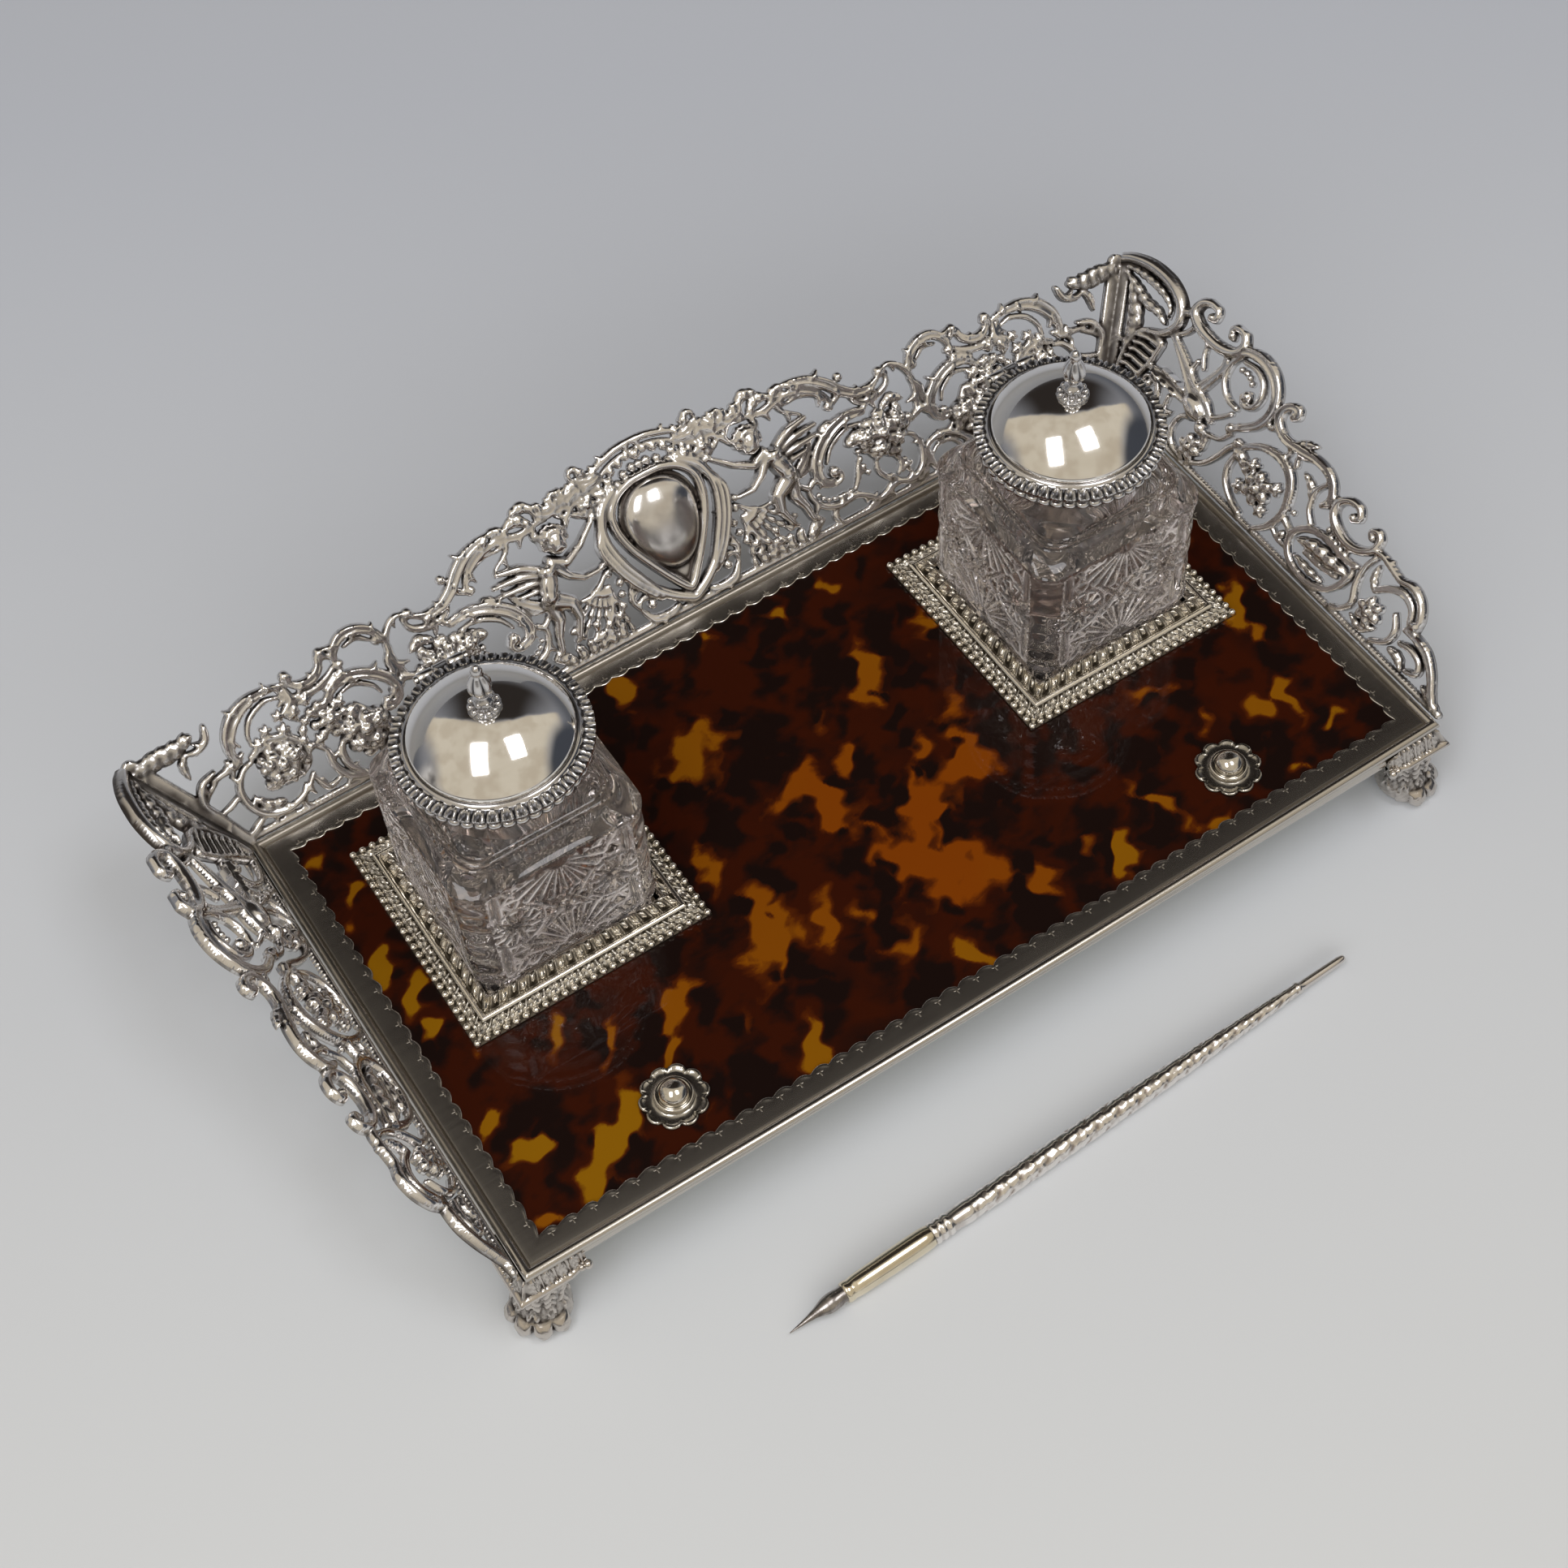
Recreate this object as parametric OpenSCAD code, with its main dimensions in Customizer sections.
// Desk inkstand: moulded silver tray with a tortoiseshell deck, pierced leaning
// gallery on three sides, four cast paw feet, two square cut-glass wells with
// hinged domed lids, two front rosette studs and a loose dip pen.
// Millimetres. Origin on the table, under the centre of the tray. +Z up, +Y to the back.

/* [Tray] */
// Visible width of the tortoiseshell deck
deck_w = 250; // [246:1:254]
// Visible depth of the tortoiseshell deck
deck_d = 124.2; // [122:0.2:126]
// Height of the deck surface above the table
deck_z = 28; // [27.5:0.5:29]
// Width of the moulded frame on the left and right
frame_side = 8; // [7.5:0.5:9]
// Width of the moulded frame at front and back
frame_front = 7.4; // [7:0.2:8.4]
// Depth of the frame below the deck surface
frame_drop = 7; // [6.5:0.5:8]
// Thickness of the tortoiseshell
shell_t = 1.6; // [1.2:0.2:2]
// Thickness of the wooden core board
board_t = 4.4; // [4:0.2:4.8]

/* [Gallery] */
// Lean of the gallery away from upright, in degrees
lean = 37.6; // [34:0.2:40]
// Thickness of the gallery plate
gal_t = 1.3; // [1:0.1:1.6]
// Height of the back gallery at its middle, along the slope
gal_mid = 48; // [44:1:50]

/* [Wells] */
// Distance of each well from the centre line
well_x = 80.8; // [78:0.2:83]
// Distance of the wells behind the centre of the tray
well_y = 19.4; // [17:0.2:21]
// Width of the stamped square base
base_w = 65.8; // [64:0.2:67]
// Width of the glass body
glass_w = 50; // [49:0.5:50.5]
// Radius of the ink cavity
cavity_r = 16.2; // [15:0.2:17]
// Radius of the open neck
mouth_r = 14; // [13:0.2:14.6]
// Outer radius of the lid rim
rim_r = 23.2; // [22.8:0.1:23.6]
// Radius of the sphere that the lid dome is part of
dome_R = 25.2; // [24.6:0.2:26]
// Rise of the lid finial above the dome
finial_h = 15; // [13:0.5:16]

/* [Hinge] */
// Radius of the lid hinge pin
pin_r = 0.7; // [0.6:0.05:0.8]
// Radial running clearance of the pin
pin_c = 0.05; // [0.03:0.01:0.08]
// Outer radius of the hinge knuckles
knuckle_r = 1.5; // [1.4:0.05:1.6]

/* [Studs] */
// Distance of the front studs from the centre line
stud_x = 81.5; // [78:0.5:84]
// Distance of the front studs in front of the centre
stud_y = 50.6; // [48:0.2:51]
// Number of lobes on each rosette
lobes = 10; // [8:1:12]

/* [Pen] */
// Overall length of the pen, nib included
pen_len = 168.2; // [160:0.2:172]
// Radius of the pen at the thick end of the handle
pen_r = 2.95; // [2.8:0.05:3.1]
// Radius of the smooth grip sleeve
grip_r = 2.7; // [2.5:0.05:2.75]
// Radius of the handle's thin tail
tail_r = 1.1; // [0.9:0.1:1.3]

/* [Hidden] */
$fn = 64;

silver = [0.74, 0.73, 0.70];
dark_silver = [0.52, 0.50, 0.47];
outer_w = deck_w + 2 * frame_side;
outer_d = deck_d + 2 * frame_front;
hx = outer_w / 2;
hy = outer_d / 2;
frame_z0 = deck_z - frame_drop;
lip_t = 0.6;
board_z0 = deck_z - shell_t - board_t;
baize_t = 0.8;
baize_z0 = board_z0 - baize_t;
lug_t = 1;
bolt_r = 1.5;
bolt_c = 0.04;
nut_t = 2.3;
// wells
seat_z = deck_z + 1.2;
glass_z0 = seat_z + 0.05;
shoulder_z = deck_z + 49;
neck_z = deck_z + 56;
neck_top = deck_z + 61.4;
rim_z0 = deck_z + 62.3;
dome_r = 19.3;
dome_apex = deck_z + 75;
dome_z = dome_apex - dome_R;
hinge_y = 25;
hinge_z = deck_z + 61.6;
// gallery
gal_y = hy + 1.5;
gal_x = hx + 1.5;
gal_z = deck_z + 1;
bolt_off = 22;
base_bolts = [for (s = [-1, 1], a = [-1, 1], b = [-1, 1]) [s * well_x + a * bolt_off, well_y + b * bolt_off]];
stud_pts = [[-stud_x, -stud_y], [stud_x, -stud_y]];
// lugs under the frame: position, and direction out of the tray
lugs = [[-56, -1], [56, -1], [-56, 1], [56, 1]];
side_lugs = [-1, 1];
lug_reach = 9;
screw_in = 5.6;
board_pts = concat([for (l = lugs) [l[0], l[1] * (hy - frame_front - screw_in)]],
                   [for (s = side_lugs) [s * (hx - frame_side - screw_in), 0]]);
foot_signs = [[-1, -1], [1, -1], [-1, 1], [1, 1]];
foot_pts = [for (f = foot_signs, k = [0, 1])
  k == 0 ? [f[0] * (hx - 13.5), f[1] * (hy - 3)] : [f[0] * (hx - 3), f[1] * (hy - 13.5)]];

function arc(r, a0, a1, n, cx = 0, cy = 0) =
  [for (i = [0:n]) let (a = a0 + (a1 - a0) * i / n) [cx + r * cos(a), cy + r * sin(a)]];

module drill(pts, r, z0, z1) {
  for (p = pts) translate([p[0], p[1], z0]) cylinder(r = r, h = z1 - z0);
}
module slab(w, d, z0, z1) translate([-w / 2, -d / 2, z0]) cube([w, d, z1 - z0]);

// ---------------------------------------------------------------- tray
module edge_bead(r, z) {
  bx = hx - r; by = hy - r;
  for (s = [-1, 1]) {
    translate([-bx, s * by, z]) rotate([0, 90, 0]) cylinder(r = r, h = 2 * bx);
    translate([s * bx, -by, z]) rotate([-90, 0, 0]) cylinder(r = r, h = 2 * by);
    for (t = [-1, 1]) translate([s * bx, t * by, z]) sphere(r = r);
  }
}
module tray_frame() {
  color(silver) difference() {
    union() {
      difference() {
        union() {
          slab(outer_w - 0.6, outer_d - 0.6, frame_z0, deck_z + lip_t);
          slab(outer_w, outer_d, frame_z0, frame_z0 + 1.6);
          edge_bead(1.8, deck_z);
        }
        // open underneath, so that the baize shows
        slab(deck_w + 4, deck_d + 4, frame_z0 - 1, baize_z0 + 0.01);
      }
      for (l = lugs)
        translate([l[0] - 6, l[1] > 0 ? hy - frame_front - lug_reach : -(hy - frame_front / 2), baize_z0 - lug_t])
          cube([12, lug_reach + frame_front / 2, lug_t + 0.01]);
      for (s = side_lugs)
        translate([s > 0 ? hx - frame_side - lug_reach : -(hx - frame_side / 2), -6, baize_z0 - lug_t])
          cube([lug_reach + frame_side / 2, 12, lug_t + 0.01]);
    }
    // lip over the deck, recess for deck and board below it
    slab(deck_w, deck_d, deck_z - 0.01, deck_z + 5);
    slab(deck_w + 4, deck_d + 4, baize_z0, deck_z);
    drill(board_pts, 1.15, baize_z0 - 3, baize_z0 + 1);
    drill(foot_pts, 1.04, frame_z0 - 2, frame_z0 + 4);
  }
}
module tortoiseshell_panel() {
  color([0.30, 0.10, 0.03]) difference() {
    slab(deck_w + 3.4, deck_d + 3.4, deck_z - shell_t, deck_z);
    drill(base_bolts, bolt_r + bolt_c, deck_z - 5, deck_z + 1);
    drill(base_bolts, 3.1, deck_z - 0.8, deck_z + 1);
    drill(stud_pts, bolt_r + bolt_c, deck_z - 5, deck_z + 1);
  }
}
module core_board() {
  color([0.50, 0.34, 0.20]) difference() {
    slab(deck_w + 3.4, deck_d + 3.4, board_z0, board_z0 + board_t);
    drill(base_bolts, bolt_r + bolt_c, board_z0 - 1, deck_z);
    drill(stud_pts, bolt_r + bolt_c, board_z0 - 1, deck_z);
    drill(board_pts, 1.04, board_z0 - 1, board_z0 + 3.2);
  }
}
module underside_baize() {
  color([0.10, 0.22, 0.16]) difference() {
    slab(deck_w + 3, deck_d + 3, baize_z0, board_z0);
    drill(base_bolts, bolt_r + bolt_c, baize_z0 - 1, deck_z);
    drill(stud_pts, bolt_r + bolt_c, baize_z0 - 1, deck_z);
    drill(board_pts, 1.04, baize_z0 - 1, deck_z);
  }
}
module board_screws() {
  color([0.55, 0.45, 0.25]) for (p = board_pts) translate([p[0], p[1], 0]) difference() {
    union() {
      translate([0, 0, baize_z0 - lug_t - 1.1]) cylinder(r = 2.1, h = 1.1);
      translate([0, 0, baize_z0 - lug_t - 0.1]) cylinder(r = 1, h = 5);
    }
    translate([-3, -0.25, baize_z0 - lug_t - 1.2]) cube([6, 0.5, 0.6]);
  }
}

// ---------------------------------------------------------------- gallery
// half outline of the back panel, from the middle to the corner mitre
back_half = [[0, gal_mid], [10, gal_mid - 0.2], [20, gal_mid - 1], [31, gal_mid - 3.6], [40, gal_mid - 6],
  [48, gal_mid - 8.5], [54, 37.6], [66, 36], [78, 36], [90, 36.6], [100, 36], [108, 34.6], [116, 32],
  [126, 31.4], [140, 31], [160, 31]];
back_outline = concat([[-160, -0.6]], [for (i = [len(back_half) - 1:-1:1]) [-back_half[i][0], back_half[i][1]]],
  back_half, [[160, -0.6]]);
// outline of a side panel, from the back corner to the front end
side_outline = [[-112, -0.6], [-112, 31], [-89, 31], [-84, 34], [-77, 35.6], [-66, 35.2], [-58, 38.2], [-50, 38.8],
  [-41, 38.6], [-30, 36.6], [-22, 33], [-10, 30.4], [2, 28], [12, 26.2], [24, 24.4], [34, 21], [44, 18.8],
  [50, 13], [56, 10.2], [62, 5.4], [66.4, 0.6], [67.4, -0.6]];
// round piercings: position along the panel, height on the slope, radius
back_holes = [[14, 41, 2.6], [24, 36, 3.4], [19, 10, 3.6], [33, 27, 4.6], [30, 9, 4], [42, 15, 4.6], [42, 33, 4],
  [55, 27, 4.6], [53, 9, 3.8], [66, 17, 4.8], [67, 29, 3.6], [78, 9, 4.6], [80, 26, 5], [92, 16, 4.8], [94, 29, 3.6],
  [105, 8, 4], [106, 23, 4.4], [118, 14, 4.6], [120, 25, 3.4], [130, 6, 2.8], [134, 22, 4.4]];
side_holes = [[-75, 25, 4.4], [-72, 12, 3.6], [-62, 28, 3.4], [-60, 16, 4.6], [-50, 31, 3.2], [-48, 22, 3.6], [-50, 8, 4],
  [-38, 14, 4.6], [-38, 29, 4], [-28, 22, 3.4], [-26, 8, 4.4], [-14, 18, 4.6], [-14, 7, 3], [-2, 12, 4.6], [2, 22, 3],
  [10, 7, 3.4], [14, 17, 4], [24, 8, 4.2], [28, 17, 3.2], [36, 10, 3.6], [45, 7, 3], [54, 4, 1.8]];

module mitre_cut(side) {
  // removes everything beyond the vertical corner plane; side = 1 keeps the back panel
  translate([gal_x, gal_y, -20]) rotate([0, 0, 45])
    translate([-300, side == 1 ? -300 : 0, 0]) cube([600, 300, 300]);
}
module leaning(z_off = 0) translate([0, gal_y, gal_z]) rotate([90 - lean, 0, 0]) translate([0, 0, z_off]) children();

module back_gallery() {
  color(silver) difference() {
    union() {
      leaning(-gal_t / 2) linear_extrude(gal_t) difference() {
        polygon(back_outline);
        for (s = [-1, 1], h = back_holes) translate([s * h[0], h[1]]) circle(r = h[2]);
      }
      translate([-gal_x, hy, frame_z0 + 4.8]) cube([2 * gal_x, 1.3, 4.4]);
      // domed cartouche with its rim
      leaning(gal_t / 2 - 0.01) translate([0, 27]) {
        cylinder(r = 12, h = 0.8);
        intersection() {
          cylinder(r = 9.6, h = 6);
          translate([0, 0, -15.2]) sphere(r = 18.4);
        }
      }
    }
    mitre_cut(1);
    mirror([1, 0, 0]) mitre_cut(1);
  }
}
module side_gallery() {
  difference() {
    union() {
      translate([gal_x, 0, gal_z]) rotate([0, 0, -90]) rotate([90 - lean, 0, 0]) translate([0, 0, -gal_t / 2])
        linear_extrude(gal_t) difference() {
          polygon(side_outline);
          for (h = side_holes) translate([h[0], h[1]]) circle(r = h[2]);
        }
      translate([hx, -68.3, frame_z0 + 4.8]) cube([1.3, 68.3 + gal_y, 4.4]);
    }
    mitre_cut(-1);
  }
}
module right_gallery() { color(silver) side_gallery(); }
module left_gallery() { color(silver) mirror([1, 0, 0]) side_gallery(); }

// ---------------------------------------------------------------- feet
module foot(sx, sy) {
  mx = sx > 0 ? 0 : 1; my = sy > 0 ? 0 : 1;
  color(silver) mirror([mx, 0, 0]) mirror([0, my, 0]) difference() {
    union() {
      // angle bracket under and around the corner of the frame
      translate([hx - 17, hy - 6.5, frame_z0 - 1.6]) cube([18.2, 7.7, 1.6]);
      translate([hx - 6.5, hy - 17, frame_z0 - 1.6]) cube([7.7, 18.2, 1.6]);
      translate([hx - 13, hy, frame_z0 - 1.6]) cube([14.2, 1.2, 6.2]);
      translate([hx, hy - 13, frame_z0 - 1.6]) cube([1.2, 14.2, 6.2]);
      // knee, shank and paw
      translate([hx - 4.6, hy - 4.6, 14.6]) sphere(r = 6.6);
      translate([hx - 3.9, hy - 3.9, 4]) cylinder(r1 = 6.2, r2 = 5.6, h = 9);
      translate([hx - 3.2, hy - 3.2, 4.4]) sphere(r = 7);
      for (a = [-52, -17, 17, 52])
        translate([hx - 3.2 + 6.4 * cos(45 + a), hy - 3.2 + 6.4 * sin(45 + a), 1.6]) {
          sphere(r = 2.3);
          translate([0, 0, -1.6]) cylinder(r = 1.6, h = 1.6);
        }
      translate([hx - 3.2, hy - 3.2, 0]) cylinder(r = 4.6, h = 3);
    }
    translate([0, 0, -20]) cube([200, 200, 20]);
    // the corner of the frame sits in the bracket
    translate([0, 0, frame_z0]) cube([hx, hy, 20]);
    for (p = [[hx - 13.5, hy - 3], [hx - 3, hy - 13.5]])
      translate([p[0], p[1], frame_z0 - 3]) cylinder(r = 1.04, h = 5);
  }
}
module foot_front_left() foot(-1, -1);
module foot_front_right() foot(1, -1);
module foot_back_left() foot(-1, 1);
module foot_back_right() foot(1, 1);
module foot_screws() {
  color([0.55, 0.45, 0.25]) for (p = foot_pts) translate([p[0], p[1], 0]) {
    translate([0, 0, frame_z0 - 2.6]) cylinder(r = 1.9, h = 1);
    translate([0, 0, frame_z0 - 1.7]) cylinder(r = 1, h = 5.4);
  }
}

// ---------------------------------------------------------------- well bases
module well_base(s) {
  color(silver) translate([s * well_x, well_y, 0]) difference() {
    union() {
      slab(base_w, base_w, deck_z, deck_z + 1.2);
      slab(base_w - 1.6, base_w - 1.6, deck_z + 1, deck_z + 2);
      slab(base_w - 5, base_w - 5, deck_z + 1, deck_z + 2.8);
    }
    slab(base_w - 8.2, base_w - 8.2, deck_z + 1.2, deck_z + 9);
  }
}
module well_base_left() well_base(-1);
module well_base_right() well_base(1);
module well_socket(s) {
  color(silver) translate([s * well_x, well_y, 0]) difference() {
    union() {
      slab(base_w - 8.2, base_w - 8.2, seat_z, seat_z + 1);
      slab(glass_w + 4, glass_w + 4, seat_z, deck_z + 5);
    }
    slab(glass_w + 0.9, glass_w + 0.9, seat_z - 1, deck_z + 9);
  }
}
module well_socket_left() well_socket(-1);
module well_socket_right() well_socket(1);
module well_base_bolts() {
  color([0.55, 0.45, 0.25]) for (p = base_bolts) translate([p[0], p[1], 0]) {
    translate([0, 0, baize_z0 - nut_t - 1.6]) cylinder(r = bolt_r, h = deck_z - baize_z0 + nut_t + 1.6);
    translate([0, 0, deck_z - 0.8]) cylinder(r = 3, h = 0.8);
  }
}
module nut(r, t, b) difference() {
  cylinder(r = r, h = t, $fn = 6);
  translate([0, 0, -1]) cylinder(r = b, h = t + 2);
}
module well_base_nuts() {
  color([0.55, 0.45, 0.25]) for (p = base_bolts)
    translate([p[0], p[1], baize_z0 - nut_t]) nut(3.2, nut_t, bolt_r + bolt_c);
}

// ---------------------------------------------------------------- front studs
module rosette(s) {
  color(silver) translate([s * stud_x, -stud_y, deck_z]) difference() {
    union() {
      cylinder(r = 7.4, h = 1.2);
      for (i = [0:lobes - 1]) rotate([0, 0, i * 360 / lobes]) translate([6.2, 0, 0]) cylinder(r = 2.35, h = 1);
      cylinder(r1 = 5.2, r2 = 4.4, h = 2.4);
      translate([0, 0, 1.6]) intersection() {
        cylinder(r = 3.9, h = 8);
        translate([0, 0, -0.6]) sphere(r = 4.2);
      }
    }
    translate([0, 0, -1]) cylinder(r = bolt_r + bolt_c, h = 3);
  }
}
module stud_rosette_left() rosette(-1);
module stud_rosette_right() rosette(1);
module stud_bolts() {
  color([0.55, 0.45, 0.25]) for (p = stud_pts)
    translate([p[0], p[1], baize_z0 - nut_t - 1.6]) cylinder(r = bolt_r, h = deck_z - baize_z0 + nut_t + 3.6);
}
module stud_nuts() {
  color([0.55, 0.45, 0.25]) for (p = stud_pts)
    translate([p[0], p[1], baize_z0 - nut_t]) nut(3.2, nut_t, bolt_r + bolt_c);
}

// ---------------------------------------------------------------- wells
module glass(s) {
  w = glass_w / 2; cr = 6;
  prof = [[-w, glass_z0], [w, glass_z0], [w, shoulder_z - 4], [w - 0.5, shoulder_z - 1.6], [w - 1.6, shoulder_z],
    [17.5, neck_z], [-17.5, neck_z], [-w + 1.6, shoulder_z], [-w + 0.5, shoulder_z - 1.6], [-w, shoulder_z - 4]];
  color([0.80, 0.83, 0.86, 0.5]) translate([s * well_x, well_y, 0]) difference() {
    union() {
      intersection() {
        translate([0, w + 1, 0]) rotate([90, 0, 0]) linear_extrude(2 * w + 2) polygon(prof);
        rotate([0, 0, 90]) translate([0, w + 1, 0]) rotate([90, 0, 0]) linear_extrude(2 * w + 2) polygon(prof);
        // rounded upright corners
        union() {
          slab(2 * w, 2 * (w - cr), 0, 200);
          slab(2 * (w - cr), 2 * w, 0, 200);
          for (a = [-1, 1], b = [-1, 1]) translate([a * (w - cr), b * (w - cr), 0]) cylinder(r = cr, h = 200);
        }
        rotate_extrude() polygon([[0, glass_z0], [40, glass_z0], [40, shoulder_z - 8], [31, shoulder_z - 3.5],
          [28, shoulder_z], [20.2, neck_z], [0, neck_z]]);
      }
      translate([0, 0, neck_z - 4]) cylinder(r = 17.2, h = 4);
      translate([0, 0, neck_z - 0.01]) cylinder(r = 17.2, h = neck_top - neck_z + 0.01);
    }
    rotate_extrude() polygon(concat([[0, deck_z + 15]], arc(cavity_r - 6, -90, 0, 8, 6, deck_z + 15 + cavity_r - 6),
      [[cavity_r, neck_z - 9], [mouth_r, neck_z - 4], [mouth_r, neck_top + 1], [0, neck_top + 1]]));
  }
}
module well_glass_left() glass(-1);
module well_glass_right() glass(1);

module neck_collar(s) {
  color(silver) translate([s * well_x, well_y, 0]) {
    rotate_extrude() polygon([[17.25, neck_z + 0.02], [19.8, neck_z + 0.02], [20.6, neck_z + 1.2], [20.8, neck_z + 2.4],
      [22.4, neck_z + 3.2], [22.9, neck_z + 4], [22.5, neck_z + 4.9], [21.4, neck_z + 5.4], [21, neck_z + 5.8],
      [17.25, neck_z + 5.8]]);
    // two outer hinge knuckles on their lugs
    for (t = [-1, 1]) difference() {
      union() {
        translate([t > 0 ? 2.1 : -6, 21.6, hinge_z - 2]) cube([3.9, hinge_y - 21.6, 1.3]);
        translate([t > 0 ? 2.1 : -6, hinge_y, hinge_z]) rotate([0, 90, 0]) cylinder(r = knuckle_r, h = 3.9);
      }
      translate([-8, hinge_y, hinge_z]) rotate([0, 90, 0]) cylinder(r = pin_r + pin_c, h = 16);
    }
  }
}
module neck_collar_left() neck_collar(-1);
module neck_collar_right() neck_collar(1);

module hinge_pin(s) {
  color(silver) translate([s * well_x, well_y + hinge_y, hinge_z]) rotate([0, 90, 0]) {
    translate([0, 0, -6.8]) cylinder(r = pin_r, h = 13.6);
    for (t = [-1, 1]) translate([0, 0, t * 6.5 - 0.35]) cylinder(r = 1.15, h = 0.7);
  }
}
module hinge_pin_left() hinge_pin(-1);
module hinge_pin_right() hinge_pin(1);

// ---------------------------------------------------------------- lids
module lid_rim(s) {
  color(silver) translate([s * well_x, well_y, 0]) difference() {
    union() {
      rotate_extrude() polygon([[18.5, rim_z0 + 0.3], [20, rim_z0], [22.6, rim_z0], [rim_r, rim_z0 + 0.9],
        [22.9, rim_z0 + 2], [21.6, rim_z0 + 3.2], [20.2, rim_z0 + 3.7], [19.35, rim_z0 + 3.7], [19.35, rim_z0 + 2.2],
        [18.5, rim_z0 + 2.2]]);
      translate([-1.8, 21.8, hinge_z + 0.75]) cube([3.6, hinge_y - 21.8, 0.75]);
      translate([-1.8, hinge_y, hinge_z]) rotate([0, 90, 0]) cylinder(r = knuckle_r, h = 3.6);
    }
    translate([-8, hinge_y, hinge_z]) rotate([0, 90, 0]) cylinder(r = pin_r + pin_c, h = 16);
  }
}
module lid_rim_left() lid_rim(-1);
module lid_rim_right() lid_rim(1);

module lid_dome(s) {
  t = 0.8;
  a0 = acos(dome_r / dome_R);
  a1 = acos(1.04 / dome_R);
  color(silver) translate([s * well_x, well_y, 0]) rotate_extrude() polygon(concat(
    [[dome_r - t, rim_z0 + 2.22], [dome_r, rim_z0 + 2.22]],
    arc(dome_R, a0, a1, 20, 0, dome_z),
    arc(dome_R - t, acos(1.04 / (dome_R - t)), acos((dome_r - t) / (dome_R - t)), 20, 0, dome_z)));
}
module lid_dome_left() lid_dome(-1);
module lid_dome_right() lid_dome(1);

module lid_finial(s) {
  h = finial_h / 15;
  color(silver) translate([s * well_x, well_y, dome_apex]) rotate_extrude()
    polygon(concat([[0, -3.2], [1, -3.2]], arc(dome_R + 0.01, acos(1 / (dome_R + 0.01)), acos(4.2 / (dome_R + 0.01)), 8, 0, -dome_R), [[4.3, 0.4], [3.6, 0.9], [3.9, 1.7], [3.5, 2.7], [2, 3.6],
      [1.4, 4.4], [1.6, 5.2], [2.7, 6.6], [3.1, 8.2], [2.8, 10], [1.6, 11.8 * h], [1.3, 12.4 * h], [1.7, 13.2 * h],
      [1.3, 14.4 * h], [0, 15 * h]]));
}
module lid_finial_left() lid_finial(-1);
module lid_finial_right() lid_finial(1);
module finial_nut(s) {
  color(dark_silver) translate([s * well_x, well_y, dome_apex - 0.93 - 1.7]) nut(2.1, 1.7, 1.04);
}
module finial_nut_left() finial_nut(-1);
module finial_nut_right() finial_nut(1);

// ---------------------------------------------------------------- pen
// the pen lies on the table in front of the tray, nib to the left
pen_x0 = -85.8;
pen_y0 = -104.4;
pen_turn = 1.67;
pen_z = pen_r + 0.03;
nib_l = 15.5;
grip_l = 24.8;
module along_pen() translate([pen_x0, pen_y0, pen_z]) rotate([0, 0, pen_turn]) rotate([0, 90, 0]) children();
module pen_handle() {
  z0 = nib_l + grip_l; z1 = pen_len;
  color(silver) along_pen() rotate_extrude() polygon([[0, z0 - 10], [1.5, z0 - 10], [1.5, z0], [grip_r, z0],
    [grip_r + 0.1, z0 + 2], [pen_r - 0.1, z0 + 6], [pen_r, z0 + 16], [pen_r, z0 + 36], [2.65, z0 + 56], [2.15, z0 + 86],
    [1.7, z0 + 106], [tail_r + 0.05, z1 - 16], [tail_r, z1 - 15.6], [tail_r, z1 - 1], [tail_r - 0.4, z1 - 0.2], [0, z1]]);
}
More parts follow.
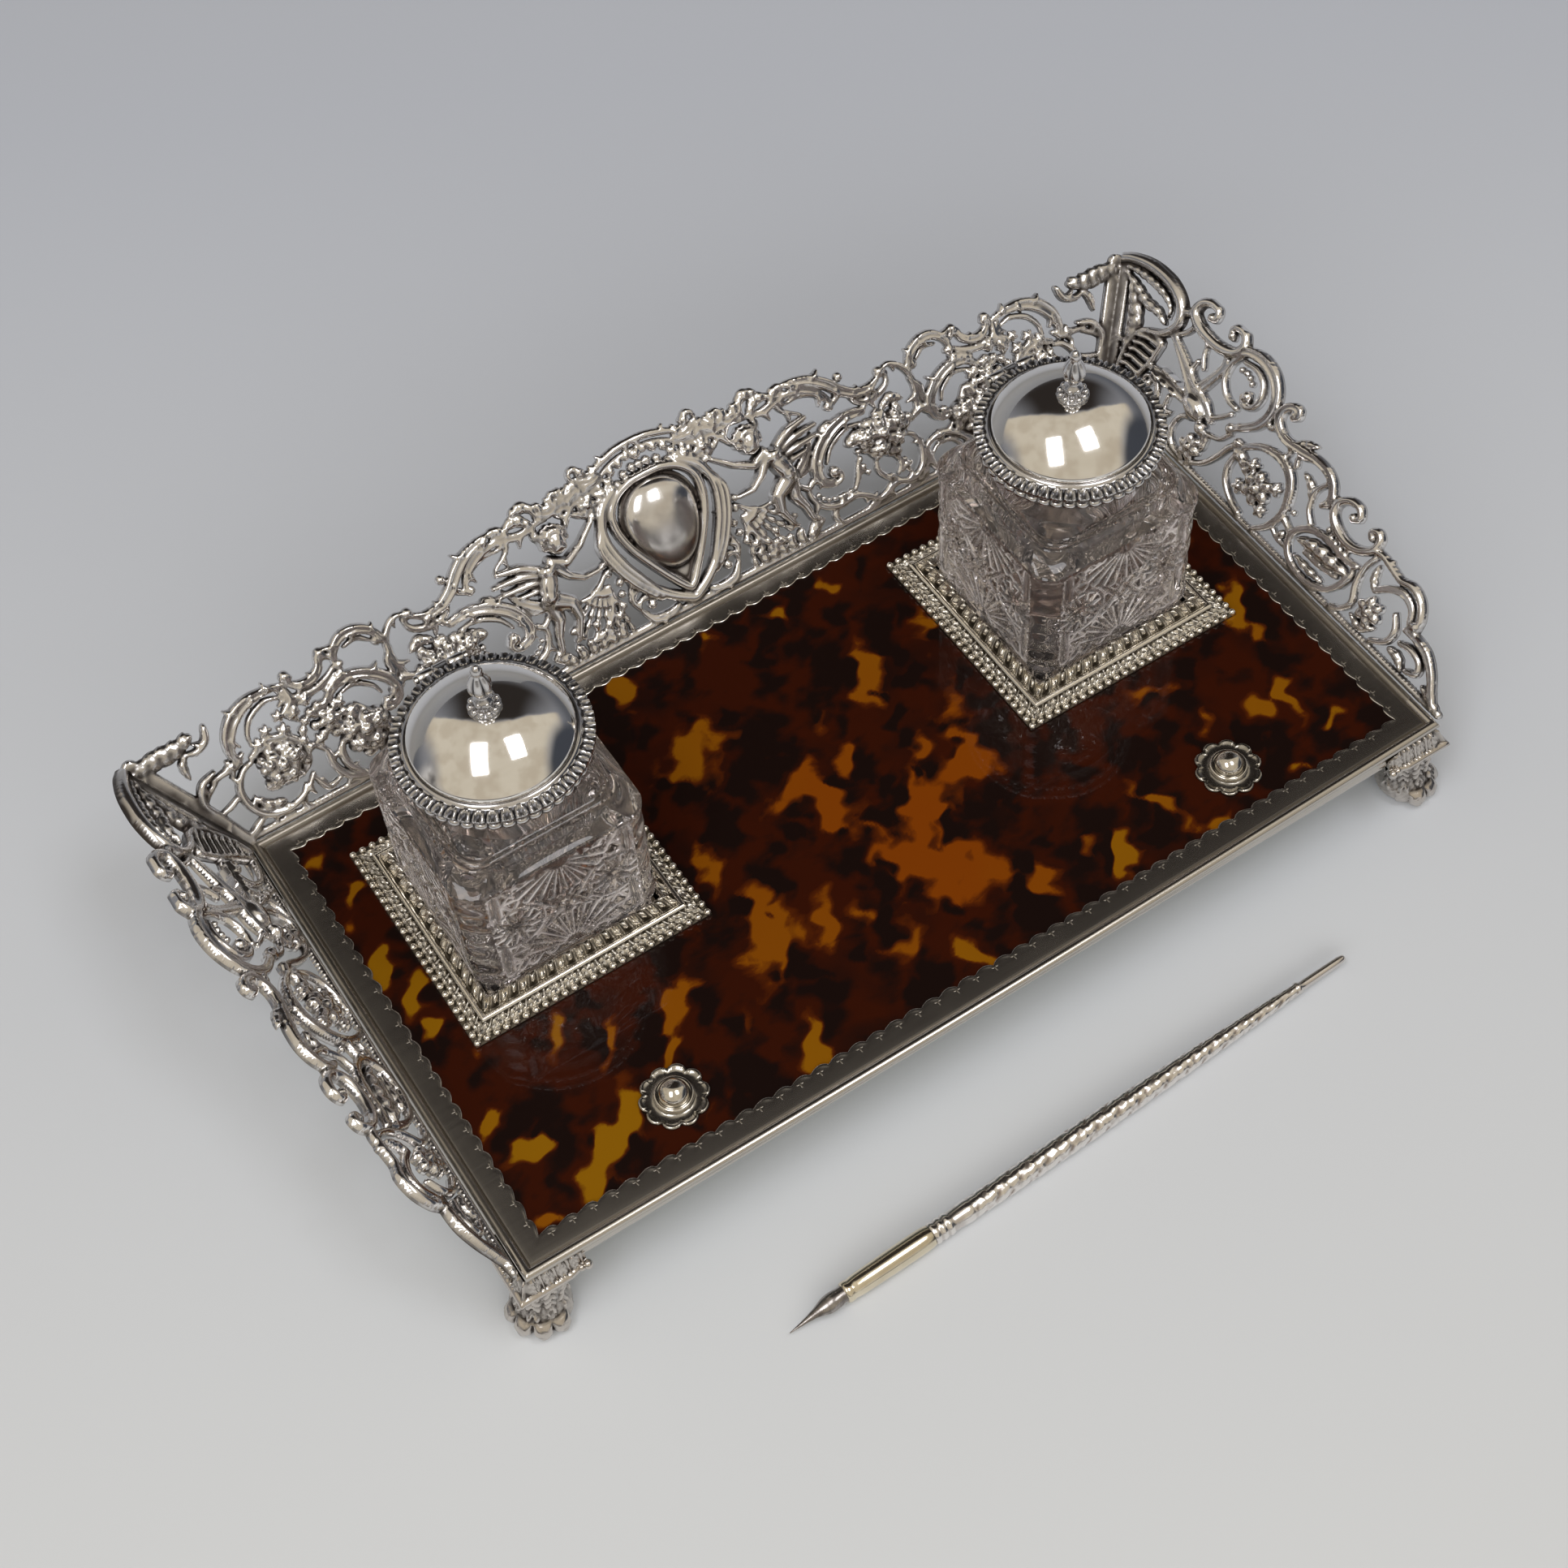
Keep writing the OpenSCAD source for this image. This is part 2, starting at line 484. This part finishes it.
module pen_grip_sleeve() {
  z0 = nib_l; z1 = nib_l + grip_l;
  color([0.78, 0.72, 0.58]) along_pen() rotate_extrude() polygon([[1.54, z0], [2.4, z0], [grip_r, z0 + 0.8],
    [grip_r, z1 - 3], [grip_r + 0.2, z1 - 2.6], [grip_r, z1 - 2.2], [grip_r + 0.2, z1 - 1.6], [grip_r, z1 - 1],
    [grip_r + 0.2, z1 - 0.5], [grip_r, z1], [1.54, z1]]);
}
module pen_nib() {
  // outline of the nib seen from above: length from the point, half width
  outline = [[0, -0.15], [0, 0.15], [4, 0.65], [8, 1.5], [11.5, 2.15], [nib_l + 7, 2.35], [nib_l + 7, -2.35],
    [11.5, -2.15], [8, -1.5], [4, -0.65]];
  color([0.35, 0.34, 0.33]) along_pen() {
    // blade: an arched half shell, dipped towards the table
    translate([0, 0, nib_l]) rotate([0, -5, 0]) translate([0, 0, -nib_l]) intersection() {
      difference() {
        cylinder(r = 2.3, h = nib_l - 0.1);
        translate([0, 0, -1]) cylinder(r = 2, h = nib_l + 2);
        translate([0.4, -5, -1]) cube([10, 10, nib_l + 2]);
      }
      rotate([0, -90, 0]) linear_extrude(10, center = true) polygon(outline);
    }
    // root held in the sleeve, and the shoulder between the two
    difference() {
      union() {
        translate([0, 0, nib_l - 0.8]) cylinder(r = 2.35, h = 0.75);
        translate([0, 0, nib_l - 0.8]) cylinder(r = 1.5, h = 6.8);
      }
      translate([0, 0, nib_l - 3]) cylinder(r = 1.2, h = 12);
    }
  }
}

tray_frame();
tortoiseshell_panel();
core_board();
underside_baize();
board_screws();
back_gallery();
left_gallery();
right_gallery();
foot_front_left();
foot_front_right();
foot_back_left();
foot_back_right();
foot_screws();
well_base_left();
well_base_right();
well_socket_left();
well_socket_right();
well_base_bolts();
well_base_nuts();
stud_rosette_left();
stud_rosette_right();
stud_bolts();
stud_nuts();
well_glass_left();
neck_collar_left();
hinge_pin_left();
lid_rim_left();
lid_dome_left();
lid_finial_left();
finial_nut_left();
well_glass_right();
neck_collar_right();
hinge_pin_right();
lid_rim_right();
lid_dome_right();
lid_finial_right();
finial_nut_right();
pen_handle();
pen_grip_sleeve();
pen_nib();
